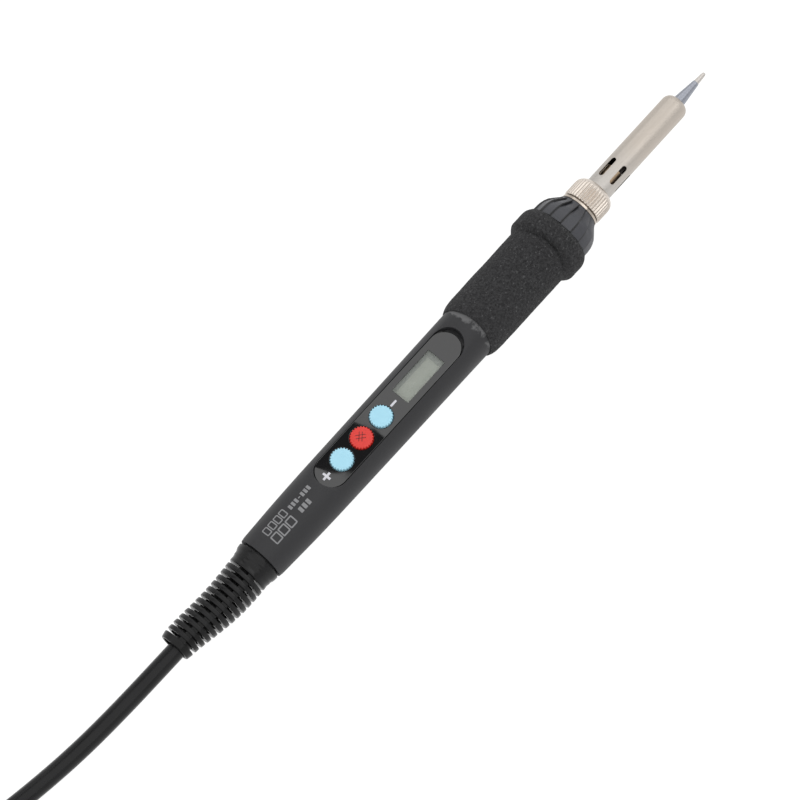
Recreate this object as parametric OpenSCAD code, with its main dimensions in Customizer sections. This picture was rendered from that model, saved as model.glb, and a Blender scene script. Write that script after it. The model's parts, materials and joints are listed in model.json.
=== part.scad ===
// Hand-held soldering iron with a display in its handle. It lies on its grip flange and the
// rear of its handle, tip towards +X and buttons up, and stands on z = 0.
// Each piece is drawn along its own axis, x = 0 at the rear edge of the handle, then laid down.

/* [Handle] */
// Length of the handle from its rear edge to the grip
handle_len = 90; // [89:1:105]
// Diameter of the handle where it meets the grip
handle_d = 17.5; // [17.3:0.1:18.5]
// Diameter where the rear taper ends
shoulder_d = 16.6; // [16.2:0.1:17]
// Diameter of the rear edge
handle_rear_d = 15.1; // [14.8:0.1:15.8]
// Length of the rear taper
shoulder_len = 19; // [16:1:22]
// Diameter of the hollow that holds the circuit board
handle_bore_d = 13.6; // [13.4:0.1:13.8]
// Diameter of the nose that the grip is pushed over
nose_d = 16; // [15.6:0.1:16.4]

/* [Panel] */
// Distance from the rear edge of the handle to the panel
panel_start = 26.9; // [25:0.1:27]
// Length of the panel
panel_len = 59.8; // [59:0.1:60]
// Width of the panel
panel_w = 10.2; // [10:0.1:10.4]
// Height of the panel's face above the axis of the handle
panel_top = 6.8; // [6.7:0.1:6.9]
// Gap between the front end of the panel and its recess
panel_gap = 1.2; // [0.3:0.1:1.5]
// Distance from the rear edge of the handle to the display window
window_start = 61.9; // [61:0.1:62.5]
// Length of the display window
window_len = 16.4; // [14:0.1:17]
// Width of the display window
window_w = 6.3; // [5:0.1:6.6]

/* [Buttons] */
// Diameter of a button
button_d = 7.1; // [6.6:0.1:7.2]
// Distance between the centres of two buttons
button_pitch = 8.6; // [8.5:0.1:8.7]
// Distance from the rear edge of the handle to the rear button
first_button = 36.5; // [36:0.1:37]
// Height of a button above the panel
button_rise = 0.8; // [0.6:0.1:1.2]

/* [Grip] */
// Length of the grip sleeve with its flange
grip_len = 42.5; // [40:0.5:50]
// Diameter of the grip sleeve
grip_d = 20.3; // [19:0.1:22]
// Diameter of the flange at the front of the grip
grip_flange_d = 23.8; // [22.5:0.1:26]
// Length of the flange
grip_flange_len = 9.5; // [8:0.5:12]

/* [Collar and nut] */
// Length of the collar in front of the grip
collar_len = 9.6; // [9:0.1:11]
// Diameter of the collar
collar_d = 21; // [20:0.1:22]
// Number of teeth round the collar
collar_teeth = 16; // [10:1:20]
// Diameter of the barrel nut
nut_d = 13.2; // [13:0.1:15]
// Length of the barrel nut
nut_len = 7.6; // [7.2:0.1:8]
// Number of flutes round the nut
nut_flutes = 38; // [20:1:48]

/* [Barrel and tip] */
// Outside diameter of the barrel
barrel_d = 8.5; // [8.3:0.1:8.6]
// Thickness of the barrel's wall
barrel_wall = 0.5; // [0.4:0.05:0.6]
// Length of the barrel in front of the nut
barrel_len = 38.1; // [36:0.1:44]
// Number of vent slots
vent_count = 6; // [4:1:8]
// Length of a vent slot
vent_len = 7.2; // [5:0.1:8]
// Width of a vent slot
vent_w = 1.7; // [1:0.1:2]
// Length of the tip in front of the barrel
tip_out = 12.1; // [8:0.1:20]

/* [Cord] */
// Outside diameter of the mains cord
cord_d = 5.7; // [5:0.1:6]
// Length of the boot behind the handle
boot_len = 35.9; // [34:0.1:38]
// Number of ribs on the boot
boot_ribs = 12; // [10:1:12]
// Length of the straight runs of the hank
hank_run = 62; // [56:1:66]

/* [Hidden] */
$fn = 72;

fit = 0.05;      // clearance of a close fit, on the radius
loose = 0.15;    // clearance of a loose fit, on the radius
past = 1;        // how far a cutter runs past the face it cuts

// Stations along the axis
nose_end = handle_len + grip_len;
collar_end = nose_end + collar_len;
bush_flange = 0.9;
nut_x = collar_end + bush_flange + 0.3;
nut_end = nut_x + nut_len;
barrel_flange_x = nut_end - 1.9;
barrel_end = nut_end + barrel_len;
tip_end = barrel_end + tip_out;
spigot_len = 7;

// Heights above the axis, from the board up to the buttons
board_z = 0.3;
board_t = 1.6;
board_top = board_z + board_t;
lcd_carrier_t = 1.7;
lcd_t = 1.4;
panel_t = 1;
switch_t = 2;
flange_t = 0.6;
button_foot = panel_top - panel_t - 0.1 - flange_t;
plunger_r = 1.5;
window_mid = window_start + window_len / 2;
button_x = [for (i = [0:2]) first_button + i * button_pitch];
board_x = 14;
board_len = 99;

// Lying down: the grip flange and the end of the rear taper touch the ground
flange_x = nose_end - 1.9;
tilt = asin((grip_flange_d - shoulder_d) / 2 / (flange_x - shoulder_len));
axis_z = grip_flange_d / 2 * cos(tilt) - flange_x * sin(tilt);
mid_x = (tip_end - boot_len) / 2 * cos(tilt) - 0.08;

// Route of the cord from the boot to the hank, standing on z = 0
lead_route = [[-94, 0, 7.3], [-106, 0, 6.9], [-118, 0.1, 6.5], [-130, 0.3, 5.7], [-142, 0.8, 4.3],
    [-154, 1.5, 3.3], [-164, 2.4, 2.9], [-174, 3.6, 2.9], [-184, 5.1, 2.9], [-194, 7, 2.9],
    [-203, 8.7, 2.9], [-210, 9.2, 2.9]];
// Route of the cord from the top of the hank to the plug
tail_route = [[-224, -27.6, 16.5], [-216, -30.2, 19.1], [-208, -31.3, 20.6], [-201, -29.9, 21.1],
    [-195, -26, 21.7], [-191.4, -20, 22.3], [-190.7, -13.5, 22.9], [-193, -6.5, 23.5],
    [-198, -0.6, 24.2], [-205, 3, 25], [-213, 3.2, 26], [-221, 1.4, 27.3], [-229, -1, 28.3],
    [-237, -2, 28.8]];

// Hank: turns lie two wide and three high on fold arcs of three cord diameters
hank_near = -208;
hank_y = -14;
hank_high = 17.8;
fold_r = 3 * cord_d + 0.2;
hank_half = fold_r + cord_d + 0.2 + cord_d / 2;
hank_waist = 7;
tie_w = 7;
tie_t = 0.7;
hank_mid = hank_near - hank_run / 2;

// Plug, lying on the hank with its blades away from the iron
plug_x = -254;
plug_y = hank_y + 12;
plug_len = 32;
plug_w = 25;
plug_t = 22;
plug_z = hank_high + plug_t / 2;
relief_len = 18;
blade_gap = 12.7;
blade_rise = 5.2;
earth_drop = 11.9;

// ---- shared shapes ----

// A piece laid down from its own axis
module lying() {
    translate([-mid_x, 0, axis_z]) rotate([0, -tilt, 0]) children();
}

// A turned solid from an outline of [distance along the axis, radius]
module turned(outline) {
    rotate([0, 90, 0]) rotate_extrude() polygon([for (p = outline) [p[1], p[0]]]);
}

// A round bar along the axis
module bar(x0, x1, r) {
    translate([x0, 0, 0]) rotate([0, 90, 0]) cylinder(h = x1 - x0, r = r);
}

// A block from one corner to the opposite one
module block(low, high) {
    translate(low) cube(high - low);
}

// A flat slab with round ends, long along the axis
module lozenge(x0, len, w, z0, z1) {
    block([x0 + w / 2, -w / 2, z0], [x0 + len - w / 2, w / 2, z1]);
    for (x = [x0 + w / 2, x0 + len - w / 2]) translate([x, 0, z0]) cylinder(h = z1 - z0, d = w);
}

// A bar along the axis whose outline is a ring of teeth. Each rises from r - step to r over
// the share "lean" of its width.
module toothed(x0, x1, r, step, count, lean) {
    translate([x0, 0, 0]) rotate([0, 90, 0]) linear_extrude(x1 - x0)
        polygon([for (i = [0:count - 1], j = [0, 1])
            let (a = 360 * (i + j * lean) / count, d = r - step * (1 - j)) [d * cos(a), d * sin(a)]]);
}

// A tube swept along a route of points
function unit(v) = v / norm(v);
function heading(p, i) = unit(p[min(i + 1, len(p) - 1)] - p[max(i - 1, 0)]);
function ring(c, d, r, n) =
    let (side = unit(cross([0, 0, 1], d)), up = cross(d, side))
    [for (k = [0:n - 1]) c + r * (cos(360 * k / n) * side + sin(360 * k / n) * up)];
module tube(route, r, n = 8) {
    rings = [for (i = [0:len(route) - 1]) each ring(route[i], heading(route, i), r, n)];
    last = (len(route) - 1) * n;
    sides = [for (i = [0:len(route) - 2], k = [0:n - 1])
        [i * n + k, i * n + (k + 1) % n, (i + 1) * n + (k + 1) % n, (i + 1) * n + k]];
    ends = [[for (k = [n - 1:-1:0]) k], [for (k = [0:n - 1]) last + k]];
    polyhedron(rings, [for (f = concat(sides, ends)) [for (k = [len(f) - 1:-1:0]) f[k]]]);
}

// ---- handle ----

module handle_shell() {
    r = handle_rear_d / 2;
    floor_z = panel_top - panel_t;
    recess_end = panel_start + panel_len + panel_gap;
    color("#434445") lying() union() {
        difference() {
            turned([[0, 0], [0, r - 0.3], [0.3, r], [shoulder_len, shoulder_d / 2],
                [handle_len, handle_d / 2], [handle_len, nose_d / 2], [nose_end, nose_d / 2],
                [nose_end, 0]]);
            bar(spigot_len, nose_end + past, handle_bore_d / 2);
            bar(-past, spigot_len + past, 6.3);
            lozenge(panel_start - fit, panel_len + panel_gap + fit, panel_w + 2 * fit,
                floor_z, handle_d);
            lozenge(panel_start + 1.2, panel_len - 2.4, 8.4, 0, handle_d);
        }
        // ledge that closes the bore under the gap ahead of the panel
        intersection() {
            bar(recess_end - 2.5, recess_end + 0.7, handle_bore_d / 2 + 0.2);
            block([recess_end - 3, -6, floor_z - 0.8], [recess_end + 1, 6, floor_z]);
        }
    }
}

module panel_bezel() {
    low = panel_top - panel_t;
    color("#1b1a1d") lying() difference() {
        lozenge(panel_start, panel_len, panel_w, low, panel_top);
        for (x = button_x) translate([x, 0, low - past])
            cylinder(h = panel_t + 2 * past, d = button_d + 2 * loose);
        block([window_start, -window_w / 2, low - past],
            [window_start + window_len, window_w / 2, panel_top + past]);
    }
}

module display_window() {
    color("#9fa6a0") lying() block([window_start + fit, fit - window_w / 2, panel_top - panel_t],
        [window_start + window_len - fit, window_w / 2 - fit, panel_top - 0.05]);
}

module lcd_glass() {
    base = board_top + lcd_carrier_t;
    color("#a3a89f") lying()
        block([window_mid - 10, -4, base], [window_mid + 10, 4, base + lcd_t]);
}

module lcd_carrier() {
    color("#e8e8e4") lying() difference() {
        block([window_mid - 10.5, -4.1, board_top], [window_mid + 10.5, 4.1, board_top + lcd_carrier_t]);
        block([window_mid - 9, -3, board_top - past],
            [window_mid + 9, 3, board_top + lcd_carrier_t - 0.5]);
    }
}

module circuit_board() {
    color("#1f5c38") lying()
        block([board_x, -6, board_z], [board_x + board_len, 6, board_top]);
}

// ---- buttons and their switches ----

module button(x) {
    top = panel_top + button_rise;
    lying() translate([x, 0, 0]) {
        translate([0, 0, button_foot]) cylinder(h = flange_t, d = button_d + 1);
        translate([0, 0, button_foot]) cylinder(h = top - button_foot - 0.3, d = button_d);
        translate([0, 0, top - 0.4]) cylinder(h = 0.4, d = button_d - 0.6);
    }
}
module button_minus() { color("#a5dcf0") button(button_x[2]); }
module button_set() { color("#e8443e") button(button_x[1]); }
module button_plus() { color("#a5dcf0") button(button_x[0]); }

module plunger(x) {
    color("#222222") lying() translate([x, 0, board_top + switch_t - 0.8])
        cylinder(h = button_foot - board_top - switch_t + 0.8, r = plunger_r);
}
module plunger_minus() { plunger(button_x[2]); }
module plunger_set() { plunger(button_x[1]); }
module plunger_plus() { plunger(button_x[0]); }

module switch_bodies() {
    color("#3a3a3c") lying() for (x = button_x) difference() {
        block([x - 3, -3, board_top], [x + 3, 3, board_top + switch_t]);
        translate([x, 0, board_top + 0.3]) cylinder(h = switch_t, r = plunger_r + loose);
        translate([x, 0, board_top + 0.3]) cylinder(h = 0.4, r = 2.2);
    }
}

module switch_domes() {
    color("#c9c9c4") lying() for (x = button_x) translate([x, 0, board_top + 0.35])
        cylinder(h = 0.2, r = 2);
}

// ---- parts on the board ----

module control_chip() {
    color("#1a1a1a") lying() {
        block([96, -2, board_top + 0.2], [101, 2, board_top + 1.7]);
        for (x = [96.4:1.2:100.5], y = [-3, 2])
            block([x, y, board_top], [x + 0.5, y + 1, board_top + 0.6]);
    }
}

module power_triac() {
    color("#1a1a1a") lying() {
        intersection() {
            translate([0, 0.5, 0]) bar(68, 73, 2.4);
            block([68, -2, -1.3], [73, 3, board_z]);
        }
        block([68, -1.8, -1.4], [73, 2.8, board_z]);
    }
}

module film_capacitor() {
    color("#d8b72c") lying() block([24, -2, -4.4], [37, 4, board_z]);
}

module filter_capacitor() {
    color("#2a2f5a") lying() translate([0, 1.5, board_z - 2.5]) {
        bar(41, 51, 2.5);
        bar(51, 52, 2.3);
    }
}

module dropper_resistor() {
    color("#7f96a8") lying() translate([0, 1.5, board_z - 1.6]) turned([[55, 0], [55, 1.6],
        [56.5, 1.6], [57, 1.3], [62, 1.3], [62.5, 1.6], [64, 1.6], [64, 0]]);
}

module safety_fuse() {
    color("#cfc9b8") lying() translate([0, 3, board_z - 1.3]) {
        bar(15.5, 17, 1.3);
        bar(17, 21, 1.1);
        bar(21, 22.5, 1.3);
    }
}

// ---- heater ----

module heater_element() {
    color("#e6e0d4") lying() bar(nose_end - 9, barrel_end - 5.6, 1.98);
}

module heater_holder() {
    color("#a08b72") lying() difference() {
        turned([[nose_end - 4, 0], [nose_end - 4, 3.1], [nose_end - 2.5, 3.1], [nose_end - 2.5, 5],
            [nose_end - 1, 5], [nose_end - 1, 3.1], [nut_end + 7.9, 3.1], [nut_end + 7.9, 0]]);
        bar(nose_end - 4 - past, nut_end + 8 + past, 2.03);
    }
}

module heater_leads() {
    color("#d9d6cf") lying() for (y = [-0.9, 0.9], z = [-0.9, 0.9])
        translate([0, y, z]) bar(board_x + board_len, nose_end - 9, 0.35);
}

module threaded_bush() {
    color("#cfc7bd") lying() difference() {
        turned([[collar_end - 5, 0], [collar_end - 5, 5.95], [collar_end, 5.95],
            [collar_end, 6.45], [collar_end + bush_flange - 0.2, 6.45],
            [collar_end + bush_flange, 6.2], [collar_end + bush_flange, 5.5],
            [barrel_flange_x - 0.1, 5.5], [barrel_flange_x - 0.1, 0]]);
        bar(collar_end - 5 - past, nut_end, 3.2);
    }
}

// ---- front of the handle ----

module front_collar() {
    r = collar_d / 2;
    x = nose_end;
    color("#55565a") lying() difference() {
        union() {
            intersection() {
                turned([[x, 0], [x, r + 0.1], [x + 3.2, r - 0.1], [x + 4.4, r - 0.5],
                    [x + 5.6, r - 1.1], [x + 6.9, r - 2], [x + 8.1, r - 2.9],
                    [x + 9.3, r - 3.7], [x + collar_len, r - 4], [x + collar_len, 0]]);
                toothed(x, x + collar_len, r, 0.45, collar_teeth, 0.95);
            }
            bar(x - spigot_len, x + 0.1, handle_bore_d / 2 - fit);
        }
        bar(x - spigot_len - past, x - 1, 5.2);
        bar(x - 2, x + collar_len, 3.2);
        bar(collar_end - 5, collar_end + past, 6);
    }
}

module grip_sleeve() {
    r = grip_d / 2;
    f = grip_flange_d / 2;
    x = handle_len;
    fx = nose_end - grip_flange_len;
    color("#2c2c2d") lying() difference() {
        turned([[x, 0], [x, r - 1.1], [x + 1.2, r - 0.55], [x + 3.4, r - 0.15], [x + 6, r],
            [fx - 0.6, r], [fx + 0.8, r + 0.8], [fx + 2.4, f - 0.35], [fx + 4.2, f - 0.05],
            [flange_x, f], [nose_end - 0.8, f - 0.7], [nose_end, f - 1.4], [nose_end, 0]]);
        bar(x - past, nose_end + past, nose_d / 2);
    }
}

// ---- barrel, nut and tip ----

module barrel() {
    r = barrel_d / 2;
    x = barrel_flange_x;
    round_x = barrel_end - 2.6;
    color("#c8c0ba") lying() difference() {
        turned(concat([[x, 0], [x, 5.2], [x + 0.7, 5.2], [x + 0.7, r + 0.4], [nut_end + 0.2, r]],
            [for (a = [0:18:72]) [round_x + 2.6 * sin(a), r - 2.1 * (1 - cos(a))]],
            [[barrel_end, r - 1.7], [barrel_end, 0]]));
        bar(x - past, round_x, r - barrel_wall);
        bar(round_x - past, barrel_end + past, 2.3);
        for (i = [0:vent_count - 1]) rotate([38.3 + 360 * i / vent_count, 0, 0])
            lozenge(nut_end + 3, vent_len, vent_w, 3.4, r + past);
    }
}

module barrel_nut() {
    r = nut_d / 2;
    seat = barrel_flange_x + 0.75;
    color("#d6cbc0") lying() difference() {
        union() {
            turned([[nut_x, 0], [nut_x, r - 0.5], [nut_x + 0.3, r - 0.3], [nut_end - 2.2, r - 0.3],
                [nut_end - 1.2, r - 0.5], [nut_end - 0.5, r - 1], [nut_end, r - 1.7], [nut_end, 0]]);
            toothed(nut_x + 0.3, nut_end - 2, r, 0.25, nut_flutes, 0.5);
        }
        bar(nut_x - past, seat, 5.53);
        // countersunk for the flare of the barrel
        turned([[seat - past, 0], [seat - past, barrel_d / 2 + 0.55], [seat, barrel_d / 2 + 0.55],
            [nut_end, barrel_d / 2 + 0.18], [nut_end + past, barrel_d / 2 + 0.18],
            [nut_end + past, 0]]);
    }
}

module soldering_tip() {
    tinned = 4.2;
    sleeve_x = nut_end + 12;
    color("#8d919c") lying() difference() {
        turned([[sleeve_x, 0], [sleeve_x, 3.25], [barrel_end - 4.6, 3.25], [barrel_end - 3, 2.15],
            [barrel_end, 2], [tip_end - tinned, 1], [tip_end - tinned, 0.9],
            [tip_end - 0.5, 0.6], [tip_end - 0.1, 0.4], [tip_end, 0]]);
        bar(sleeve_x - past, barrel_end - 4.8, 2.05);
    }
}

// ---- cord and boot ----

module cord_boot() {
    base_end = -6.3;
    pitch = (boot_len - 3.2 + base_end) / boot_ribs;
    rib = 0.55 * pitch;
    color("#262627") lying() difference() {
        union() {
            turned([[-0.2, 0], [0, 6.2], [spigot_len - 1, 6.2], [spigot_len - 1, 0]]);
            turned([[base_end, 0], [base_end, 6.65], [-4.2, 6.75], [-3.6, 7.25], [-0.3, 7.3],
                [0, 7.1], [0, 0]]);
            for (i = [0:boot_ribs - 1])
                let (x = base_end - (i + 1) * pitch, r = 6.6 - 1.2 * pow((i + 1) / boot_ribs, 1.5))
                turned([[x, 0], [x, r - 0.2], [x + 0.2, r], [x + rib - 0.2, r],
                    [x + rib, r - 0.2], [x + rib, 0]]);
            turned([[-boot_len, 0], [-boot_len, 4.8], [0.3 - boot_len, 5],
                [1.9 - boot_len, 5.35], [2.2 - boot_len, 5.15], [2.2 - boot_len, 0]]);
            rotate([24, 0, 0]) for (side = [-1, 1])
                block([1 - boot_len, -1, side * 4.6 - 0.4], [base_end + 1, 1, side * 4.6 + 0.4]);
        }
        bar(-boot_len - past, base_end, 4.1);
        bar(-boot_len, spigot_len, cord_d / 2 + fit);
    }
}

module cord_retainer() {
    color("#b9b7b0") lying() difference() {
        bar(spigot_len - 1, spigot_len + 2, 4.6);
        bar(0, spigot_len + 5, cord_d / 2);
    }
}

module cord_entry() {
    color("#262627") lying() bar(-12, spigot_len + 3, cord_d / 2);
}

module core(y, z, reach, r = 0.8) {
    start = spigot_len + 3;
    lying() tube([[start, y * 0.35, z * 0.35], [start + 0.5, y * 0.35, z * 0.35],
        [start + 2, y * 0.5, z * 0.5],
        [start + 4, y, z], [start + reach, y, z]], r);
}
module live_core() { color("#6b3f22") core(2.6, 2.7, 12); }
module neutral_core() { color("#2f63b8") core(-2.6, 2.7, 12); }
module earth_core() {
    color("#7fae2a") lying() tube([[10, -0.6, -1.2], [10.5, -0.6, -1.2], [12, -2, -2.2],
        [15, -4.2, -3.8],
        [20, -4.5, -3.8], [50, -4.5, -3.8], [80, -4.5, -3.8], [110, -4.5, -3.8],
        [118, -4, -3.4], [124, -3, -2.6], [nose_end - 2.5, -3, -2.6]], 0.8);
}

module cord_lead() { color("#262627") tube(lead_route, cord_d / 2, 12); }
module cord_tail() { color("#262627") tube(tail_route, cord_d / 2, 12); }

// Half the width of the hank at a distance x from its middle, inset by d
function waist(x, d) = hank_half - d - hank_waist * (1 + cos(360 * x / hank_run)) / 2;

module hank_outline(inset) {
    h = hank_run / 2;
    r = hank_half - inset;
    near = [for (a = [-90:15:90]) [h + r * cos(a), r * sin(a)]];
    side = [for (x = [h - 4:-4:4 - h]) [x, waist(x, inset)]];
    polygon(concat(near, side, [for (p = near) -p], [for (p = side) -p]));
}

module cord_hank() {
    color("#262627") translate([hank_mid, hank_y, 0]) difference() {
        linear_extrude(hank_high) hank_outline(0);
        difference() {
            translate([-tie_w / 2 - 0.2, -hank_half, -past])
                cube([tie_w + 0.4, 2 * hank_half, hank_high + 2 * past]);
            translate([-tie_w, -waist(0, 0.8), tie_t])
                cube([2 * tie_w, 2 * waist(0, 0.8), hank_high - 2 * tie_t]);
        }
    }
}

module cord_tie() {
    half = waist(0, 0.8);
    color("#3c3c3e") translate([hank_mid, hank_y, 0]) difference() {
        translate([-tie_w / 2, -half - tie_t, 0]) cube([tie_w, 2 * (half + tie_t), hank_high]);
        translate([-tie_w, -half, tie_t]) cube([2 * tie_w, 2 * half, hank_high - 2 * tie_t]);
    }
}

module at_plug() {
    translate([plug_x, plug_y, plug_z]) rotate([0, 0, 180]) children();
}

module plug_body() {
    color("#262627") at_plug() {
        hull() for (y = [-1, 1], z = [-1, 1]) {
            translate([plug_len - 3, y * (plug_w / 2 - 3), z * (plug_t / 2 - 3)])
                rotate([0, 90, 0]) cylinder(h = 3, r = 3, $fn = 32);
            translate([4, y * (plug_w / 2 - 5), z * (plug_t / 2 - 5)]) sphere(r = 4, $fn = 32);
        }
        difference() {
            turned([[-relief_len, 0], [-relief_len, 3.8], [2, 6], [2, 0]]);
            bar(-relief_len - past, 4 - relief_len, cord_d / 2);
        }
    }
}

module plug_blades() {
    color("#c9b26a") at_plug() for (side = [-1, 1])
        translate([plug_len, side * blade_gap / 2, blade_rise]) difference() {
            block([0, -0.75, -3.2], [17, 0.75, 3.2]);
            translate([13, 0, 0]) rotate([90, 0, 0]) cylinder(h = 4, r = 1.6, center = true);
        }
}

module plug_earth_pin() {
    color("#c9b26a") at_plug() translate([0, 0, blade_rise - earth_drop])
        turned([[plug_len, 0], [plug_len, 2.38], [plug_len + 19, 2.38], [plug_len + 21, 1],
            [plug_len + 21, 0]]);
}

handle_shell();
panel_bezel();
display_window();
lcd_glass();
lcd_carrier();
circuit_board();
button_minus();
button_set();
button_plus();
plunger_minus();
plunger_set();
plunger_plus();
switch_bodies();
switch_domes();
control_chip();
power_triac();
film_capacitor();
filter_capacitor();
dropper_resistor();
safety_fuse();
heater_element();
heater_holder();
heater_leads();
threaded_bush();
front_collar();
grip_sleeve();
barrel();
barrel_nut();
soldering_tip();
cord_boot();
cord_retainer();
cord_entry();
live_core();
neutral_core();
earth_core();
cord_lead();
cord_hank();
cord_tie();
cord_tail();
plug_body();
plug_blades();
plug_earth_pin();
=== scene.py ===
import json
import math

import bmesh
import bpy
from mathutils import Matrix, Vector, noise


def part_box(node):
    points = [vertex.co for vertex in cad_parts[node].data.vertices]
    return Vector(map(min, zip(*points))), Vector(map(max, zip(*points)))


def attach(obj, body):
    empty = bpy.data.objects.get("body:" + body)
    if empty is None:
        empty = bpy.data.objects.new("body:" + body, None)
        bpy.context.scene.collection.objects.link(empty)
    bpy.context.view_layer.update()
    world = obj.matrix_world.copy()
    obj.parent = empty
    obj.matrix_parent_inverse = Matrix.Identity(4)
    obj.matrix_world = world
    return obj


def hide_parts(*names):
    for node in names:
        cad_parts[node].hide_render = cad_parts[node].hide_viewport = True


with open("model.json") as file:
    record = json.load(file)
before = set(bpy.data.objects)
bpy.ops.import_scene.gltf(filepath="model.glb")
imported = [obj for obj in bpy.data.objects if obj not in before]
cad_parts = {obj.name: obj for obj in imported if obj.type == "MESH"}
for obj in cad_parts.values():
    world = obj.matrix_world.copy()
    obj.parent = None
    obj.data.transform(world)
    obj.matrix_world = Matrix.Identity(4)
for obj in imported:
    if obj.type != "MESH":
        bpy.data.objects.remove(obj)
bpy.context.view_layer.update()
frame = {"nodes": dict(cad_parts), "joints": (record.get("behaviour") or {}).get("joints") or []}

nodes = frame["nodes"]

# ---- How the iron lies ----
# The iron rests on the flange of its grip and the rear of its handle, so its axis climbs a little
# towards the tip. Its rigid pieces are drawn on that axis in millimetres, x = 0 at the rear edge of
# the handle and z up through the panel, and are then laid down to metres.
MM = 0.001
AHEAD = Vector(next(j["axis"] for j in frame["joints"] if j["name"] == "barrel_pull")).normalized()
TILT = math.asin(AHEAD.z)
LEVEL = Matrix.Rotation(-TILT, 4, "Y")
_rim = [LEVEL.inverted() @ v.co for v in nodes["handle_shell"].data.vertices]
_rear = min(p.x for p in _rim)
_heights = [p.z for p in _rim if p.x < _rear + 0.01 * MM]
REAR_RIM = LEVEL @ Vector((_rear, 0, (min(_heights) + max(_heights)) / 2))
LAID = Matrix.Translation(REAR_RIM) @ LEVEL @ Matrix.Scale(MM, 4)


def on_iron(x, y=0, z=0):
    """A point of the iron, given in millimetres on its own axis, where it lies."""
    return LAID @ Vector((x, y, z))


def reach(node):
    """Where a node starts and ends along the iron's axis and its largest radius, in millimetres."""
    points = [LAID.inverted() @ v.co for v in nodes[node].data.vertices]
    along = [p.x for p in points]
    return min(along), max(along), max(math.hypot(p.y, p.z) for p in points)


# ---- Camera ----
# The viewer stands behind and to the right of the iron and looks down on it from a metre away, and
# holds the camera so that the iron runs from the lower left corner to the upper right one.
VIEW_DISTANCE = 0.95
VIEW_LENS = 145.7
BEHIND = math.radians(12.5)     # how far the view leans back from square to the axis
ASIDE = math.radians(16.8)      # how far it leans to the iron's right
TURNED = math.radians(47.53)    # how steeply the iron climbs in the picture

across = Vector((0, 1, 0))
up_from_panel = AHEAD.cross(across)
facing = (math.cos(ASIDE) * up_from_panel - math.sin(ASIDE) * across).normalized()
to_camera = (math.cos(BEHIND) * facing - math.sin(BEHIND) * AHEAD).normalized()
along_view = math.cos(BEHIND) * AHEAD + math.sin(BEHIND) * facing
aside_view = to_camera.cross(along_view)
right = along_view * math.cos(TURNED) - aside_view * math.sin(TURNED)
upward = along_view * math.sin(TURNED) + aside_view * math.cos(TURNED)
target = on_iron(62.6) + 1.22 * MM * aside_view

camera = bpy.data.objects.new("camera", bpy.data.cameras.new("camera"))
bpy.context.scene.collection.objects.link(camera)
camera.data.lens = VIEW_LENS
camera.data.clip_start = 0.05
camera.matrix_world = Matrix.Translation(target + VIEW_DISTANCE * to_camera) @ Matrix(
    (right, upward, to_camera)).transposed().to_4x4()
bpy.context.scene.camera = camera
bpy.context.scene.view_settings.view_transform = "Standard"

# ---- Mains cord ----
# A round three-core cord in a smooth black PVC jacket, extruded, with a satin skin that shows one
# soft streak of light along it. It leaves the boot, lies on the table and is folded into a hank,
# two strands wide and three high, and its end comes back over the hank to the plug.
CORD_D = 5.7
LEAD_ROUTE = [(-94, 0, 7.3), (-106, 0, 6.9), (-118, 0.1, 6.5), (-130, 0.3, 5.7), (-142, 0.8, 4.3),
    (-154, 1.5, 3.3), (-164, 2.4, 2.9), (-174, 3.6, 2.9), (-184, 5.1, 2.9), (-194, 7, 2.9),
    (-203, 8.7, 2.9)]
TAIL_ROUTE = [(-224, -27.6, 16.5), (-216, -30.2, 19.1), (-208, -31.3, 20.6), (-201, -29.9, 21.1),
    (-195, -26, 21.7), (-191.4, -20, 22.3), (-190.7, -13.5, 22.9), (-193, -6.5, 23.5),
    (-198, -0.6, 24.2), (-205, 3, 25), (-213, 3.2, 26), (-221, 1.4, 27.3), (-229, -1, 28.3),
    (-237, -2, 28.8)]
hank_low, hank_high = (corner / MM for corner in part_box("cord_hank"))
HANK_HALF = (hank_high.y - hank_low.y) / 2
HANK_Y = (hank_high.y + hank_low.y) / 2
HANK_NEAR = hank_high.x - HANK_HALF
HANK_RUN = hank_high.x - hank_low.x - 2 * HANK_HALF
HANK_MID = HANK_NEAR - HANK_RUN / 2
STRAND_PITCH = CORD_D + 0.2
OUTER = HANK_HALF - CORD_D / 2
WAIST = 7.6                 # how far the tie pulls each side in
TIE_T = 0.6
TURNS = 5.68
STEPS = 32                  # points in a turn
CHANGE = 0.12               # share of a turn in which the cord changes its place in the hank


def eased(t):
    t = min(max(t, 0), 1)
    return t * t * (3 - 2 * t)


def hank_point(turn):
    """Where the cord's middle is after so many turns. At the near fold of each turn it moves in,
    up, out, up and in again, each time a little sooner, so that it clears the strand before."""
    inward = layer = 0
    for k, (sideways, climb) in enumerate([(1, 0), (0, 1), (-1, 0), (0, 1), (1, 0)]):
        done = eased((turn - k - 0.86 + 0.045 * k) / CHANGE)
        inward += sideways * done
        layer += climb * done
    side = OUTER - inward * STRAND_PITCH
    quarter, share = divmod(turn % 1 * 4, 1)
    if quarter in (0, 2):       # a run, drawn in at the tie
        x = (0.5 - share) * HANK_RUN
        pinch = (1 + math.cos(2 * math.pi * x / HANK_RUN)) / 2
        x, y = (x, side - WAIST * pinch) if quarter == 0 else (-x, WAIST * pinch - side)
    else:                       # a fold, a half circle about the end of the runs
        pinch = 0
        angle = math.pi * (share + 0.5)
        x, y = -HANK_RUN / 2 + side * math.cos(angle), side * math.sin(angle)
        if quarter == 3:
            x, y = -x, -y
    lift = TIE_T * pinch ** 8 * (1 - 0.25 * layer)
    return HANK_MID + x, HANK_Y + y, CORD_D / 2 + layer * CORD_D + lift


hank_route = [hank_point(k / STEPS) for k in range(int(TURNS * STEPS))]
cord_route = [Vector(p) * MM for p in LEAD_ROUTE + hank_route + TAIL_ROUTE]


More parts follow.
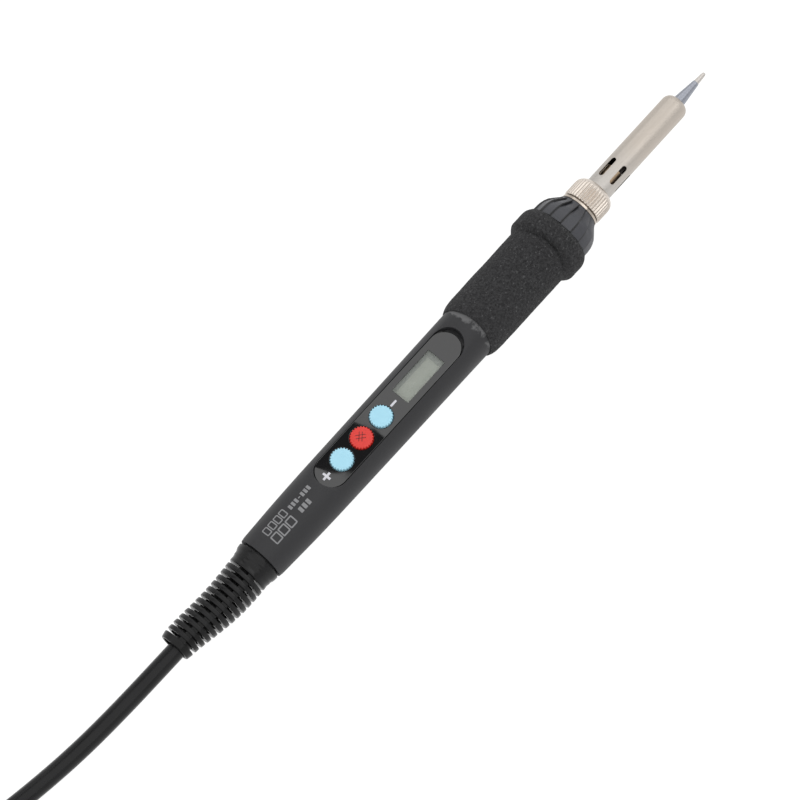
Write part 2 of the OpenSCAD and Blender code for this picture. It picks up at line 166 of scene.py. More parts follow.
def curve_object(name):
    curve = bpy.data.curves.new(name, "CURVE")
    curve.dimensions = "3D"
    made = bpy.data.objects.new(name, curve)
    bpy.context.scene.collection.objects.link(made)
    return made


cord = curve_object("mains_cord")
line = cord.data.splines.new("NURBS")
line.points.add(len(cord_route) - 1)
for point, place in zip(line.points, cord_route):
    point.co = (*place, 1)
line.order_u = 4
line.use_endpoint_u = True
line.resolution_u = 4
line.use_smooth = True
cord.data.bevel_depth = CORD_D / 2 * MM
cord.data.bevel_resolution = 6
cord.data.use_fill_caps = True


def paint(code):
    """A colour from its sRGB hex code, as the shader takes it."""
    parts = [int(code[i:i + 2], 16) / 255 for i in (0, 2, 4)]
    return (*[p / 12.92 if p <= 0.04045 else ((p + 0.055) / 1.055) ** 2.4 for p in parts], 1)


def surface(name, color, rough, **sockets):
    """A material with one shader. Further sockets are named as the shader names them."""
    made = bpy.data.materials.new(name)
    made.use_nodes = True
    shader = made.node_tree.nodes["Principled BSDF"]
    settings = {"Base Color": paint(color), "Roughness": rough}
    settings.update({key.replace("_", " "): value for key, value in sockets.items()})
    for socket, value in settings.items():
        shader.inputs[socket].default_value = value
    return made


def add(made, kind, inputs, **settings):
    """Adds a node to a material, with its settings. An input is a value or another node's output."""
    node = made.node_tree.nodes.new("ShaderNode" + kind)
    for key, value in settings.items():
        setattr(node, key, value)
    for socket, value in inputs.items():
        if isinstance(value, bpy.types.NodeSocket):
            made.node_tree.links.new(value, node.inputs[socket])
        else:
            node.inputs[socket].default_value = value
    return node


def drive(made, socket, output):
    """Feeds a socket of the material's shader from a node."""
    made.node_tree.links.new(output, made.node_tree.nodes["Principled BSDF"].inputs[socket])


def millimetres(made):
    """Coordinates on the iron's own axis in millimetres, for patterns at their real size."""
    place = add(made, "TexCoord", {})
    return add(made, "Mapping", {"Vector": place.outputs["Object"], "Location": REAR_RIM,
        "Rotation": (0, -TILT, 0), "Scale": (MM, MM, MM)}, vector_type="TEXTURE").outputs[0]


def within(made, where, radius, soft=0.12):
    """One inside a radius about the iron's axis and nought outside it."""
    apart = add(made, "SeparateXYZ", {0: where}).outputs
    flat = add(made, "CombineXYZ", {"Y": apart["Y"], "Z": apart["Z"]}).outputs[0]
    distance = add(made, "VectorMath", {0: flat}, operation="LENGTH").outputs["Value"]
    return add(made, "MapRange", {"Value": distance, "From Min": radius - soft,
        "From Max": radius, "To Min": 1, "To Max": 0}).outputs[0]


def mottle(made, where, size, dark, light, rough, depth, grain):
    """What a moulded or extruded surface shows: patches between two shades, the sheen that changes
    with them, and a grain that stands up by depth. Sizes are in millimetres. Gives the shades."""
    patches = add(made, "TexNoise", {"Vector": where, "Scale": 1 / size, "Detail": 4})
    shade = add(made, "MixRGB", {"Fac": patches.outputs["Fac"], "Color1": paint(dark),
        "Color2": paint(light)})
    sheen = add(made, "MapRange", {"Value": patches.outputs["Fac"], "From Min": 0.3,
        "From Max": 0.7, "To Min": rough[0], "To Max": rough[1]})
    bumps = add(made, "TexNoise", {"Vector": where, "Scale": 1 / grain, "Detail": 3})
    relief = add(made, "Bump", {"Height": bumps.outputs["Fac"], "Distance": depth * MM})
    drive(made, "Base Color", shade.outputs[0])
    drive(made, "Roughness", sheen.outputs[0])
    drive(made, "Normal", relief.outputs[0])
    return shade.outputs[0]


def plain(name, dark, light, rough, size=3, depth=0.01, grain=0.4, **sockets):
    """A material that is one thing all over, with no more than its mottle."""
    made = surface(name, light, rough[0], **sockets)
    mottle(made, millimetres(made), size, dark, light, rough, depth, grain)
    return made


jacket = plain("black PVC jacket, satin", "0c0c0d", "131314", (0.2, 0.3), 6, 0.02, 0.8,
    Specular_IOR_Level=0.28)
cord.data.materials.append(jacket)
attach(cord, "handle")
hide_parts("cord_lead", "cord_hank", "cord_tail")


def dress(name, made):
    """Gives a CAD node its material."""
    nodes[name].data.materials.clear()
    nodes[name].data.materials.append(made)


dress("cord_entry", jacket)

# ---- Stage ----
# A white table, lit from below as well, under two broad soft boxes that hang side by side above it
# in a pale room. The polished panel shows them, and the dark ceiling between them, as a light part,
# a dark band and a light end.
TABLE_HALF = 3.0
BOX_HEIGHT = 1.7
BOX_REACH = 2.6
BOX_WIDTH = 4.0
BOX_LIGHT = 1.12            # radiance of the soft boxes
WALL_LIGHT = 0.85
CEILING_LIGHT = 0.1
TABLE_GLOW = 0.95           # what the lit table underneath adds, so that no shadow shows on it


def softbox(name, edge, outward):
    """A soft box whose near edge shows across the panel from one point of it to another."""
    panel_normal = up_from_panel
    ends = []
    for x, y in edge:
        point = on_iron(x, y, reach("panel_bezel")[2])
        seen = (point - camera.matrix_world.translation).normalized()
        ray = seen - 2 * seen.dot(panel_normal) * panel_normal
        ends.append(point + ray * (BOX_HEIGHT - point.z) / ray.z)
    side = (ends[1] - ends[0]).normalized()
    away = Vector((0, 0, 1)).cross(side)
    if away.x * outward < 0:
        side, away = -side, -away
    light = bpy.data.lights.new(name, "AREA")
    light.shape = "RECTANGLE"
    light.size = BOX_WIDTH
    light.size_y = BOX_REACH
    light.energy = BOX_LIGHT * math.pi * BOX_WIDTH * BOX_REACH
    lamp = bpy.data.objects.new(name, light)
    lamp.matrix_world = Matrix.Translation((ends[0] + ends[1]) / 2 + away * BOX_REACH / 2) @ Matrix(
        (side, away, side.cross(away))).transposed().to_4x4()
    lamp.visible_camera = False
    bpy.context.scene.collection.objects.link(lamp)


softbox("front_softbox", [(48.3, 5), (49.2, -5)], 1)
softbox("rear_softbox", [(28.8, 5), (34.4, -5)], -1)

room = bpy.data.worlds.new("pale room with a dark ceiling")
room.use_nodes = True
_height = add(room, "SeparateXYZ", {0: add(room, "TexCoord", {}).outputs["Generated"]}).outputs["Z"]
_walls = add(room, "MapRange", {"Value": _height, "From Min": 0.45, "From Max": 0.8,
    "To Min": WALL_LIGHT, "To Max": CEILING_LIGHT})
room.node_tree.links.new(_walls.outputs[0], room.node_tree.nodes["Background"].inputs["Strength"])
room.node_tree.nodes["Background"].inputs["Color"].default_value = (1, 1, 1, 1)
bpy.context.scene.world = room


def skin(name, rings, loop=False):
    """A closed mesh through rings of points. A ring of one point is a tip, and loop joins the last
    ring to the first, as round a tube's wall."""
    bm = bmesh.new()
    rows = [[bm.verts.new(p) for p in ring] for ring in rings]
    for a, b in zip(rows, rows[1:] + rows[:1] if loop else rows[1:]):
        n = max(len(a), len(b))
        for i in range(n):
            j = (i + 1) % n
            corners = [a[i % len(a)], a[j % len(a)], b[j % len(b)], b[i % len(b)]]
            bm.faces.new(dict.fromkeys(corners))
    for row in [] if loop else [rows[0], rows[-1]]:
        if len(row) > 2:
            bm.faces.new(row)
    bmesh.ops.recalc_face_normals(bm, faces=bm.faces)
    mesh = bpy.data.meshes.new(name)
    bm.to_mesh(mesh)
    bm.free()
    made = bpy.data.objects.new(name, mesh)
    bpy.context.scene.collection.objects.link(made)
    return made


paper = surface("white table, lit from below", "686868", 0.9, Specular_IOR_Level=0.0,
    Emission_Color=(1, 1, 1, 1), Emission_Strength=TABLE_GLOW)
table = skin("table", [[(x, y, z) for x, y in ((-1, -1), (1, -1), (1, 1), (-1, 1))]
    for z in (-0.01, 0)])
table.data.transform(Matrix.Diagonal((TABLE_HALF, TABLE_HALF, 1, 1)))
table.data.materials.append(paper)

# ---- Handle ----
# A slim one-piece shell moulded in black ABS with a fine spark-eroded skin, so it looks dark grey
# and matt, with soft wear where the foam has been pushed over it. The recess for the panel is cut
# square into its top, and its rear rim is square where the boot plugs in.
HANDLE_LEN = reach("grip_sleeve")[0]
NOSE_END = reach("handle_shell")[1]
SHOULDER = (19, 8.3)
HANDLE_R = 8.75
NOSE_R = 8
BORE_R = 6.8
SEAT_R = 6.3
SEAT_LEN = 7
FOAM_REAR = 96              # the foam hides the step down to the nose


def soften(outline, radius, steps=3):
    """Rounds the corners of an outline. A point may carry its own radius as a third number."""
    smooth = []
    for k, point in enumerate(outline):
        here, before, after = (Vector(p[:2]) for p in
            (point, outline[k - 1], outline[(k + 1) % len(outline)]))
        reach_in = [min(point[2] if len(point) > 2 else radius, (q - here).length * 0.48)
            for q in (before, after)]
        if min(reach_in) < 0.01 or here.y < 0.001:
            smooth.append(here)
            continue
        a = here + (before - here).normalized() * reach_in[0]
        b = here + (after - here).normalized() * reach_in[1]
        for t in (i / steps for i in range(steps + 1)):
            smooth.append(a.lerp(here, t).lerp(here.lerp(b, t), t))
    return smooth


def turned(name, outline, around=96, form=None):
    """A piece turned about the axis, from an outline of (distance along the axis, radius). form
    may move a point, given with its angle from the top of the iron towards its right side."""
    rings = []
    for x, r in outline:
        if r < 0.001:
            rings.append([Vector((x, 0, 0))])
            continue
        ring = []
        for k in range(around):
            a = 2 * math.pi * k / around
            px, pr = form(x, r, a) if form else (x, r)
            ring.append(Vector((px, -pr * math.sin(a), pr * math.cos(a))))
        rings.append(ring)
    return skin(name, rings, loop=outline[0][1] > 0.001)


def slab(name, outlines, low, high, edge=0.1):
    """A flat plate between two heights. The first outline is its rim and the others are holes."""
    made = curve_object(name)
    flat = made.data
    flat.dimensions = "2D"
    flat.fill_mode = "BOTH"
    flat.extrude = (high - low) / 2 - edge
    flat.bevel_depth = edge
    flat.bevel_resolution = 2
    flat.offset = -edge
    for outline in outlines:
        rim = flat.splines.new("POLY")
        rim.points.add(len(outline) - 1)
        rim.use_cyclic_u = True
        for point, (x, y) in zip(rim.points, outline):
            point.co = (x, y, 0, 1)
    bpy.context.view_layer.update()
    mesh = bpy.data.meshes.new_from_object(made.evaluated_get(
        bpy.context.evaluated_depsgraph_get()))
    bpy.data.objects.remove(made)
    bm = bmesh.new()
    bm.from_mesh(mesh)
    bmesh.ops.remove_doubles(bm, verts=bm.verts, dist=0.0005)
    bmesh.ops.recalc_face_normals(bm, faces=bm.faces)
    bm.to_mesh(mesh)
    bm.free()
    mesh.transform(Matrix.Translation((0, 0, (low + high) / 2)))
    mesh.materials.clear()
    plate = bpy.data.objects.new(name, mesh)
    bpy.context.scene.collection.objects.link(plate)
    return plate


def arc(x, y, r, start=0, sweep=360, steps=48):
    """Points round part of a circle, or round all of it."""
    count = steps if sweep == 360 else steps + 1
    angles = [math.radians(start + sweep * k / steps) for k in range(count)]
    return [(x + r * math.cos(a), y + r * math.sin(a)) for a in angles]


def lozenge(start, end, width):
    """The outline of a slot with round ends, long along the axis."""
    r = width / 2
    return arc(end - r, 0, r, -90, 180, 24) + arc(start + r, 0, r, 90, 180, 24)


def block(x0, x1, y0, y1, r=0.3):
    """A rectangle's outline with small round corners."""
    return [p for x, y, start in ((x1 - r, y1 - r, 0), (x0 + r, y1 - r, 90),
        (x0 + r, y0 + r, 180), (x1 - r, y0 + r, 270)) for p in arc(x, y, r, start, 90, 5)]


def settle(made):
    """Works a piece's modifiers into its mesh."""
    bpy.context.view_layer.update()
    mesh = bpy.data.meshes.new_from_object(made.evaluated_get(
        bpy.context.evaluated_depsgraph_get()))
    made.modifiers.clear()
    made.data = mesh


def cut(blank, *tools):
    """Takes the tools' shapes out of the blank."""
    for tool in tools:
        cutting = blank.modifiers.new("cut", "BOOLEAN")
        cutting.operation = "DIFFERENCE"
        cutting.solver = "EXACT"
        cutting.object = tool
        settle(blank)
        bpy.data.objects.remove(tool)
    return blank


def finish(made, material, body, slot, *stands_for, sharp=35):
    """Lays a piece down where it belongs on the iron, smooths its shading up to the angle that
    counts as sharp, gives it its material and its body, and hides the CAD nodes that it stands for."""
    made.data.transform(LAID)
    made.data.materials.clear()
    made.data.materials.append(material)
    made.data.shade_smooth()
    made.data.set_sharp_from_angle(angle=math.radians(sharp))
    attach(made, body)
    if stands_for:
        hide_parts(*stands_for)
    return made


def joined(name, parts):
    """Several meshes as one piece."""
    bm = bmesh.new()
    for part in parts:
        bm.from_mesh(part.data)
        bpy.data.objects.remove(part)
    mesh = bpy.data.meshes.new(name)
    bm.to_mesh(mesh)
    bm.free()
    made = bpy.data.objects.new(name, mesh)
    bpy.context.scene.collection.objects.link(made)
    return made


def reach_up(node):
    """How high a node stands above the iron's axis, in millimetres."""
    return max((LAID.inverted() @ v.co).z for v in nodes[node].data.vertices)


PANEL_START, PANEL_END, _ = reach("panel_bezel")
PANEL_TOP = reach_up("panel_bezel")
PANEL_W = 10.2
PANEL_T = 1
PANEL_GAP = 0.2             # the seam round the panel
RECESS_END = PANEL_END + 1.25
handle = turned("handle", soften([(0, SEAT_R), (0, 7.45, 0.25), (1.5, 7.65, 0.5), (*SHOULDER, 12),
    (HANDLE_LEN, HANDLE_R), (FOAM_REAR, HANDLE_R), (FOAM_REAR + 0.1, NOSE_R), (NOSE_END, NOSE_R),
    (NOSE_END, BORE_R), (SEAT_LEN, BORE_R), (SEAT_LEN, SEAT_R)], 0.3, 6), around=160)
FLOOR = PANEL_TOP - PANEL_T
recess = slab("recess", [lozenge(PANEL_START - PANEL_GAP, RECESS_END, PANEL_W + 2 * PANEL_GAP)],
    FLOOR, 12, 0.001)
opening = slab("opening", [lozenge(PANEL_START + 1.2, PANEL_END - 1.2, 8.4)], 0.5, 8, 0.001)
cut(handle, recess, opening)
ledge = slab("ledge", [block(RECESS_END - 2.5, RECESS_END + 0.7, -4.8, 4.8)], FLOOR - 0.8, FLOOR,
    0.02)
handle = joined("handle", [handle, ledge])
rim_edges = handle.modifiers.new("rim", "BEVEL")
rim_edges.width = 0.16
rim_edges.segments = 2
rim_edges.limit_method = "ANGLE"
rim_edges.angle_limit = math.radians(50)
settle(handle)

abs_skin = surface("black ABS, spark-eroded matt", "1a1a1b", 0.5, Specular_IOR_Level=0.38)
_place = millimetres(abs_skin)
_shade = mottle(abs_skin, _place, 9, "222224", "29292b", (0.5, 0.6), 0.02, 0.45)
_along = add(abs_skin, "SeparateXYZ", {0: _place}).outputs["X"]
_near_foam = add(abs_skin, "MapRange", {"Value": _along, "From Min": HANDLE_LEN - 3.5,
    "From Max": HANDLE_LEN + 1.5}).outputs[0]
_rubs = add(abs_skin, "TexNoise", {"Vector": _place, "Scale": 1 / 3.2, "Detail": 6,
    "Roughness": 0.62}).outputs["Fac"]
_worn = add(abs_skin, "MapRange", {"Value": add(abs_skin, "Math", {0: _rubs, 1: _near_foam},
    operation="MULTIPLY").outputs[0], "From Min": 0.43, "From Max": 0.53}).outputs[0]
drive(abs_skin, "Base Color", add(abs_skin, "MixRGB", {"Fac": _worn,
    "Color1": _shade, "Color2": paint("585859")}).outputs[0])
finish(handle, abs_skin, "handle", "handle_plastic", "handle_shell")

# ---- Panel, window and display ----
# The panel is a polished black acrylic plate with a round-ended outline, let into the handle. It is
# a mirror for the soft boxes. A clear acrylic window closes its opening over the display, a glass
# with a green-grey polariser that stops short of the glass's far edges.
BUTTON_X = sorted((reach(n)[0] + reach(n)[1]) / 2 for n in
    ("button_plus", "button_set", "button_minus"))
BUTTON_D = 7.1
WINDOW_START, WINDOW_END, _ = reach("display_window")
WINDOW_W = 6.3
panel = slab("panel", [lozenge(PANEL_START, PANEL_END, PANEL_W),
    *[arc(x, 0, BUTTON_D / 2 + 0.15, steps=72) for x in BUTTON_X],
    block(WINDOW_START, WINDOW_END, -WINDOW_W / 2, WINDOW_W / 2, 0.2)],
    PANEL_TOP - PANEL_T, PANEL_TOP, 0.12)
gloss_black = surface("black acrylic, polished", "08080a", 0.02, IOR=1.8)
_place = millimetres(gloss_black)
_waves = add(gloss_black, "TexNoise", {"Vector": _place, "Scale": 1 / 9, "Detail": 1})
_smears = add(gloss_black, "TexNoise", {"Vector": _place, "Scale": 1 / 2.5, "Detail": 5})
drive(gloss_black, "Normal", add(gloss_black, "Bump", {"Height": _waves.outputs["Fac"],
    "Distance": 0.012 * MM}).outputs[0])
drive(gloss_black, "Roughness", add(gloss_black, "MapRange", {"Value": _smears.outputs["Fac"],
    "From Min": 0.35, "From Max": 0.75, "To Min": 0.01, "To Max": 0.03}).outputs[0])
finish(panel, gloss_black, "handle", "panel_gloss", "panel_bezel", sharp=8)

window = slab("window", [block(WINDOW_START, WINDOW_END, -WINDOW_W / 2 + 0.05,
    WINDOW_W / 2 - 0.05, 0.2)], PANEL_TOP - PANEL_T, PANEL_TOP - 0.05, 0.08)
clear = surface("clear acrylic, polished", "8d928c", 0.05, Alpha=0.25)
_haze = add(clear, "TexNoise", {"Vector": millimetres(clear), "Scale": 1 / 4, "Detail": 3})
drive(clear, "Roughness", add(clear, "MapRange", {"Value": _haze.outputs["Fac"],
    "To Min": 0.03, "To Max": 0.12}).outputs[0])
finish(window, clear, "handle", "window_acrylic", "display_window", sharp=8)

LCD_TOP = reach_up("lcd_glass")
polariser = slab("polariser", [block(WINDOW_START - 1, WINDOW_END - 1.6, -WINDOW_W / 2 - 0.4,
    WINDOW_W / 2 - 0.9, 0.2)], LCD_TOP, LCD_TOP + 0.25, 0.05)
film = plain("grey-green polariser film, matt", "b4b9ae", "c2c6bb", (0.4, 0.5), 5, 0.004, 0.3)
finish(polariser, film, "handle", "lcd")
dress("lcd_glass", plain("display glass with grey reflector", "9b9f9b", "a9ada7", (0.2, 0.35), 4,
    0.004, 0.5))

# ---- Printed marks ----
# White screen print, a few hundredths of a millimetre thick: a plus and a minus on the panel, and
# blocks and dashes on the handle behind it.
INK_T = 0.03
MARK_W = 0.72
PLUS_X = 29.8
MINUS_X = 59.1
REAR_R = 7.6                # the handle's radius at its rear, under the print


def ink(name, outlines):
    return slab(name, outlines, PANEL_TOP - 0.01, PANEL_TOP + INK_T, 0.005)


_arm = 1.42
_half = MARK_W / 2
plus = [(PLUS_X + x, y) for x, y in ((-_arm, -_half), (-_half, -_half), (-_half, -_arm),
    (_half, -_arm), (_half, -_half), (_arm, -_half), (_arm, _half), (_half, _half), (_half, _arm),
    (-_half, _arm), (-_half, _half), (-_arm, _half))]
minus = block(MINUS_X - 1.2, MINUS_X + 1.2, -0.33, 0.33, 0.06)
white_ink = plain("white screen print, matt", "bdbdc4", "cfcfd4", (0.5, 0.62), 1.5, 0.004, 0.25)
finish(joined("panel_marks", [ink("plus_mark", [plus]), ink("minus_mark", [minus])]),
    white_ink, "handle", "white_plastic")


def wrapped(name, outlines):
    """A print that follows the round handle. Its outlines are given as if it were rolled flat."""
    made = slab(name, outlines, 0, INK_T, 0.005)
    bm = bmesh.new()
    bm.from_mesh(made.data)
    bmesh.ops.triangulate(bm, faces=[f for f in bm.faces if len(f.verts) > 4])
    bmesh.ops.subdivide_edges(bm, edges=[e for e in bm.edges if e.calc_length() > 0.9], cuts=2)
    for v in bm.verts:
        r = REAR_R + min(v.co.x / SHOULDER[0], 1) * (SHOULDER[1] - REAR_R)
        r += max(v.co.x - SHOULDER[0], 0) / (HANDLE_LEN - SHOULDER[0]) * (HANDLE_R - SHOULDER[1])
        angle, height = v.co.y / r, r + v.co.z + 0.01
        v.co = (v.co.x, height * math.sin(angle), height * math.cos(angle))
    bm.to_mesh(made.data)
    bm.free()
    return made


def frame_mark(x0, x1, y0, y1, stroke=0.42):
    return [block(x0, x1, y0, y1, 0.4), block(x0 + stroke, x1 - stroke, y0 + stroke, y1 - stroke,
        0.15)[::-1]]


marks = [wrapped("frame", frame_mark(5.1 + 3.1 * k, 7.9 + 3.1 * k, -3.2, -0.2)) for k in range(3)]
marks += [wrapped("frame", frame_mark(5.1 + 2.3 * k, 7.1 + 2.3 * k, 0.4, 3.2, 0.36))
    for k in range(4)]
marks += [wrapped("dash", [block(16.7 + 1.6 * k, 17.8 + 1.6 * k, -2.4, -0.6, 0.15)])
    for k in range(3)]
marks += [wrapped("dash", [block(15.3 + 1.3 * k, 16.2 + 1.3 * k, 0.6, 2.2, 0.15)])
    for k in range(7) if k != 3]
marks.append(wrapped("dash", [block(19.25, 20.05, 1.25, 1.6, 0.08)]))
grey_ink = plain("grey screen print, matt", "6f6f71", "868688", (0.5, 0.65), 1.2, 0.006, 0.25)
finish(joined("handle_marks", marks), grey_ink, "handle", "white_plastic")

# ---- Buttons ----
# Three round caps moulded in satin ABS, two pale blue and one red, with a finely scalloped rim and
# a barely crowned face. Each hangs on a flange under the panel. The red one carries a small
# crosshatch in darker paint.
SCALLOPS = 24


def button(name, middle, color, slot="button_blue"):
    top = reach_up(name)
    foot = min((LAID.inverted() @ v.co).z for v in nodes[name].data.vertices)
    r = BUTTON_D / 2
    outline = soften([(foot, 0), (foot, r + 0.5), (foot + 0.6, r + 0.5), (foot + 0.6, r),
        (top - 0.12, r, 0.22), (top, r - 0.9, 0.5), (top + 0.05, 0)], 0.08)

    def scalloped(z, radius, a):
        wave = 0.5 + 0.5 * math.cos(SCALLOPS * a)
        share = min(max((radius - r + 0.75) / 0.7, 0), 1) if z > foot + 0.7 else 0
        return z, radius - 0.36 * share * (1 - wave)

    cap = turned(name + "_cap", outline, 192, scalloped)
    upright = Matrix(((0, 0, 1), (0, 1, 0), (1, 0, 0))).to_4x4()
    cap.data.transform(Matrix.Translation((middle, 0, 0)) @ upright)
    plastic = plain(f"{name} ABS, satin moulded", *color, (0.42, 0.55), 2, 0.01, 0.35)
    return finish(cap, plastic, name, slot, name, sharp=50)


button("button_plus", BUTTON_X[0], ("96c9dc", "a3d3e4"))
button("button_set", BUTTON_X[1], ("c92a22", "d3332a"), "button_red")
button("button_minus", BUTTON_X[2], ("96c9dc", "a3d3e4"))

strokes = []
for turn, y in ((38, -0.45), (38, 0.45), (-42, -0.5), (-42, 0.5)):
    stroke = slab("stroke", [block(-1.5, 1.5, y - 0.13, y + 0.13, 0.05)], 0, INK_T, 0.005)
    stroke.data.transform(Matrix.Rotation(math.radians(turn), 4, "Z"))
    strokes.append(stroke)
crosshatch = joined("crosshatch", strokes)
crosshatch.data.transform(Matrix.Translation((BUTTON_X[1], 0.3, reach_up("button_set") + 0.04)))
red_paint = plain("dark red paint, satin", "7a1512", "8c1d19", (0.45, 0.6), 1, 0.004, 0.25)
finish(crosshatch, red_paint, "button_set", "button_red")

# ---- Foam grip ----
# A tube of black closed-cell foam rubber pushed over the nose of the handle. Its skin is broken
# cells, dull and speckled with dust. It has crept a little at the rear, and its front end is a
# thicker roll with a crease behind it.
GRIP_REAR, GRIP_FRONT, FLANGE_R = reach("grip_sleeve")
GRIP_R = 10.15
FLANGE_LEN = 9.6
FACING_ANGLE = ASIDE        # the side that has crept furthest, from the top towards the right


def crept(a, power=2.0):
    return ((1 + math.cos(a - FACING_ANGLE)) / 2) ** power


def foam_form(x, r, a):
    """The roll, the crease and the crept end, and the lumps and open cells of the foam."""
    share = (x - GRIP_REAR) / (GRIP_FRONT - GRIP_REAR)
    if r < NOSE_R + 0.9 and share > 0.2:
        return x, r
    x += (0.3 + 2.9 * crept(a)) * max(1 - share * 6, 0)
    start = GRIP_FRONT - FLANGE_LEN - 0.9 + 4.0 * crept(a, 2.5)
    steep = 3.2 - 1.9 * crept(a, 2.5)
    if r > NOSE_R + 0.9:
        rise = eased((x - start) / steep)
        crease = 0.8 * crept(a, 5) * math.exp(-((x - start - 0.1) / 0.4) ** 2)
        r += (FLANGE_R - GRIP_R) * rise * (1 - 0.02 * math.cos(3 * a)) - crease
        at = Vector((x, r * math.sin(a), r * math.cos(a)))
        r += 0.12 * noise.noise(at / 7) + 0.05 * noise.noise(at / 1.3)
    return x, r


def stepped(outline, step):
    """Adds points so that no stretch of an outline is longer than a step."""
    filled = []
    for p, q in zip(outline, outline[1:] + outline[:1]):
        count = max(1, round((q - p).length / step))
        filled += [p.lerp(q, k / count) for k in range(count)]
    return filled


grip = turned("foam_grip", stepped(soften([(GRIP_REAR, 8.78, 0.2), (GRIP_REAR, 9.2, 0.4),
    (GRIP_REAR + 1.6, 9.85, 1.2), (GRIP_REAR + 4.5, GRIP_R, 2), (GRIP_FRONT - 2, GRIP_R, 1.2),
    (GRIP_FRONT, GRIP_R - 1.2, 0.9), (GRIP_FRONT + 0.2, 8.05, 0.4), (FOAM_REAR + 1, 8.05),
    (FOAM_REAR, 8.78)], 0.3, 5), 0.42), around=168, form=foam_form)
foam = surface("black foam rubber, open-celled skin", "141415", 0.95, Specular_IOR_Level=0.35)
_place = millimetres(foam)
_cells = add(foam, "TexVoronoi", {"Vector": _place, "Scale": 1 / 0.62})
_lumps = add(foam, "TexNoise", {"Vector": _place, "Scale": 1 / 0.7, "Detail": 5, "Roughness": 0.7})
_dust = add(foam, "TexNoise", {"Vector": _place, "Scale": 1 / 0.75, "Detail": 2})
_wide = add(foam, "TexNoise", {"Vector": _place, "Scale": 1 / 8, "Detail": 3})
_grain = add(foam, "MapRange", {"Value": _lumps.outputs["Fac"], "From Min": 0.38,
    "From Max": 0.62})
_base = add(foam, "MixRGB", {"Fac": _grain.outputs[0], "Color1": paint("161617"),
    "Color2": paint("3a3a3b")})
_patchy = add(foam, "Math", {0: _wide.outputs["Fac"], 1: 0.6}, operation="MULTIPLY")
_wide_base = add(foam, "MixRGB", {"Fac": _patchy.outputs[0], "Color1": _base.outputs[0],
    "Color2": paint("29292a")})
_specks = add(foam, "MapRange", {"Value": _dust.outputs["Fac"], "From Min": 0.62,
    "From Max": 0.72, "To Max": 0.6})
drive(foam, "Base Color", add(foam, "MixRGB", {"Fac": _specks.outputs[0],
    "Color1": _wide_base.outputs[0], "Color2": paint("5a5a5b")}).outputs[0])
_relief = add(foam, "Bump", {"Height": _cells.outputs["Distance"], "Distance": 0.22 * MM})
drive(foam, "Normal", add(foam, "Bump", {"Height": _lumps.outputs["Fac"],
    "Distance": 0.3 * MM, "Normal": _relief.outputs[0]}).outputs[0])
finish(grip, foam, "handle", "grip_foam", "grip_sleeve", sharp=60)

# ---- Front collar ----
# Glass-filled nylon, moulded dark grey and satin, pressed into the nose of the handle. Sixteen flat
# teeth lean one over the next round it, with painted shade in a dark line where each one ends, and
# the steps between them grow where the collar turns inwards.
COLLAR_START, COLLAR_END = NOSE_END, reach("front_collar")[1]
COLLAR_BORE = 6
TEETH = 16
TOOTH_TURN = math.radians(13) + ASIDE
# Distances from the foam's end, each with its radius.
PROFILE = [(0, 10.55), (1.8, 10.52), (3.1, 10.35), (4.3, 10.0), (5.6, 9.4), (6.8, 8.5), (7.7, 7.75),
    (8.6, 7.0), (9.3, 6.6), (9.6, 6.3)]


def collar_form(x, r, a):
    """Flat facets with one edge raised. The step between two facets grows as the collar narrows."""
    if r < COLLAR_BORE + 0.25 or x < COLLAR_START - 0.5:
        return x, r
    along = x - COLLAR_START
    turn, pitch = (a - TOOTH_TURN) % (2 * math.pi), 2 * math.pi / TEETH
    share = turn / pitch % 1
    chord = math.cos(pitch / 2) / math.cos((share - 0.5) * pitch)
    narrow = eased((along - 3.9) / 2.2) * (1 - eased((along - 8) / 1.4))
    step = 0.42 + 0.75 * narrow
    drop = step * (1 - share) ** (1 + 1.5 * narrow)
    if share < 0.06:
        drop = step * share / 0.06
    return x, r * (0.35 + 0.65 * chord) - drop * eased((r - COLLAR_BORE - 0.2) / 1.2)


collar_outline = [Vector((COLLAR_START + x, r)) for x, r in PROFILE]
collar_outline += [Vector(p) for p in ((COLLAR_END, COLLAR_BORE), (COLLAR_END - 5, COLLAR_BORE),
    (COLLAR_END - 5, 3.2), (COLLAR_START - 1, 3.2), (COLLAR_START - 1, 5.2),
    (COLLAR_START - 7, 5.2), (COLLAR_START - 7, 6.75), (COLLAR_START, 6.75))]
collar = turned("front_collar", stepped(collar_outline, 0.5), around=16 * 24, form=collar_form)
nylon = surface("dark grey glass-filled nylon, satin", "3a3b40", 0.36)
_place = millimetres(nylon)
_shade = mottle(nylon, _place, 3, "303136", "3a3b40", (0.36, 0.5), 0.012, 0.4)
_split = add(nylon, "SeparateXYZ", {0: _place}).outputs
_round = add(nylon, "Math", {0: _split["Y"], 1: _split["Z"]}, operation="ARCTAN2").outputs[0]
_tooth = add(nylon, "Math", {0: add(nylon, "MapRange", {"Value": _round, "From Min": 0.12 * math.pi / TEETH
    - TOOTH_TURN, "From Max": -1.88 * math.pi / TEETH - TOOTH_TURN}, clamp=False).outputs[0]},
    operation="FRACT").outputs[0]
# painted shade: a near-black line on the shaded side of each step between two teeth
_step_shade = add(nylon, "MapRange", {"Value": _tooth, "From Min": 0.2, "From Max": 0.14,
    "To Max": 0.85}).outputs[0]
drive(nylon, "Base Color", add(nylon, "MixRGB", {"Fac": _step_shade, "Color1": _shade,
    "Color2": paint("0c0c0e")}).outputs[0])
finish(collar, nylon, "handle", "collar_plastic", "front_collar", sharp=22)

# ---- Barrel nut ----
# A brass nut turned and nickel-plated to a warm champagne, with straight flutes rolled round its
# body that die out where its front is rounded over. It is screwed onto the bush.
NUT_START, NUT_END, NUT_R = reach("barrel_nut")
FLUTES = 38
BARREL_R = 4.25


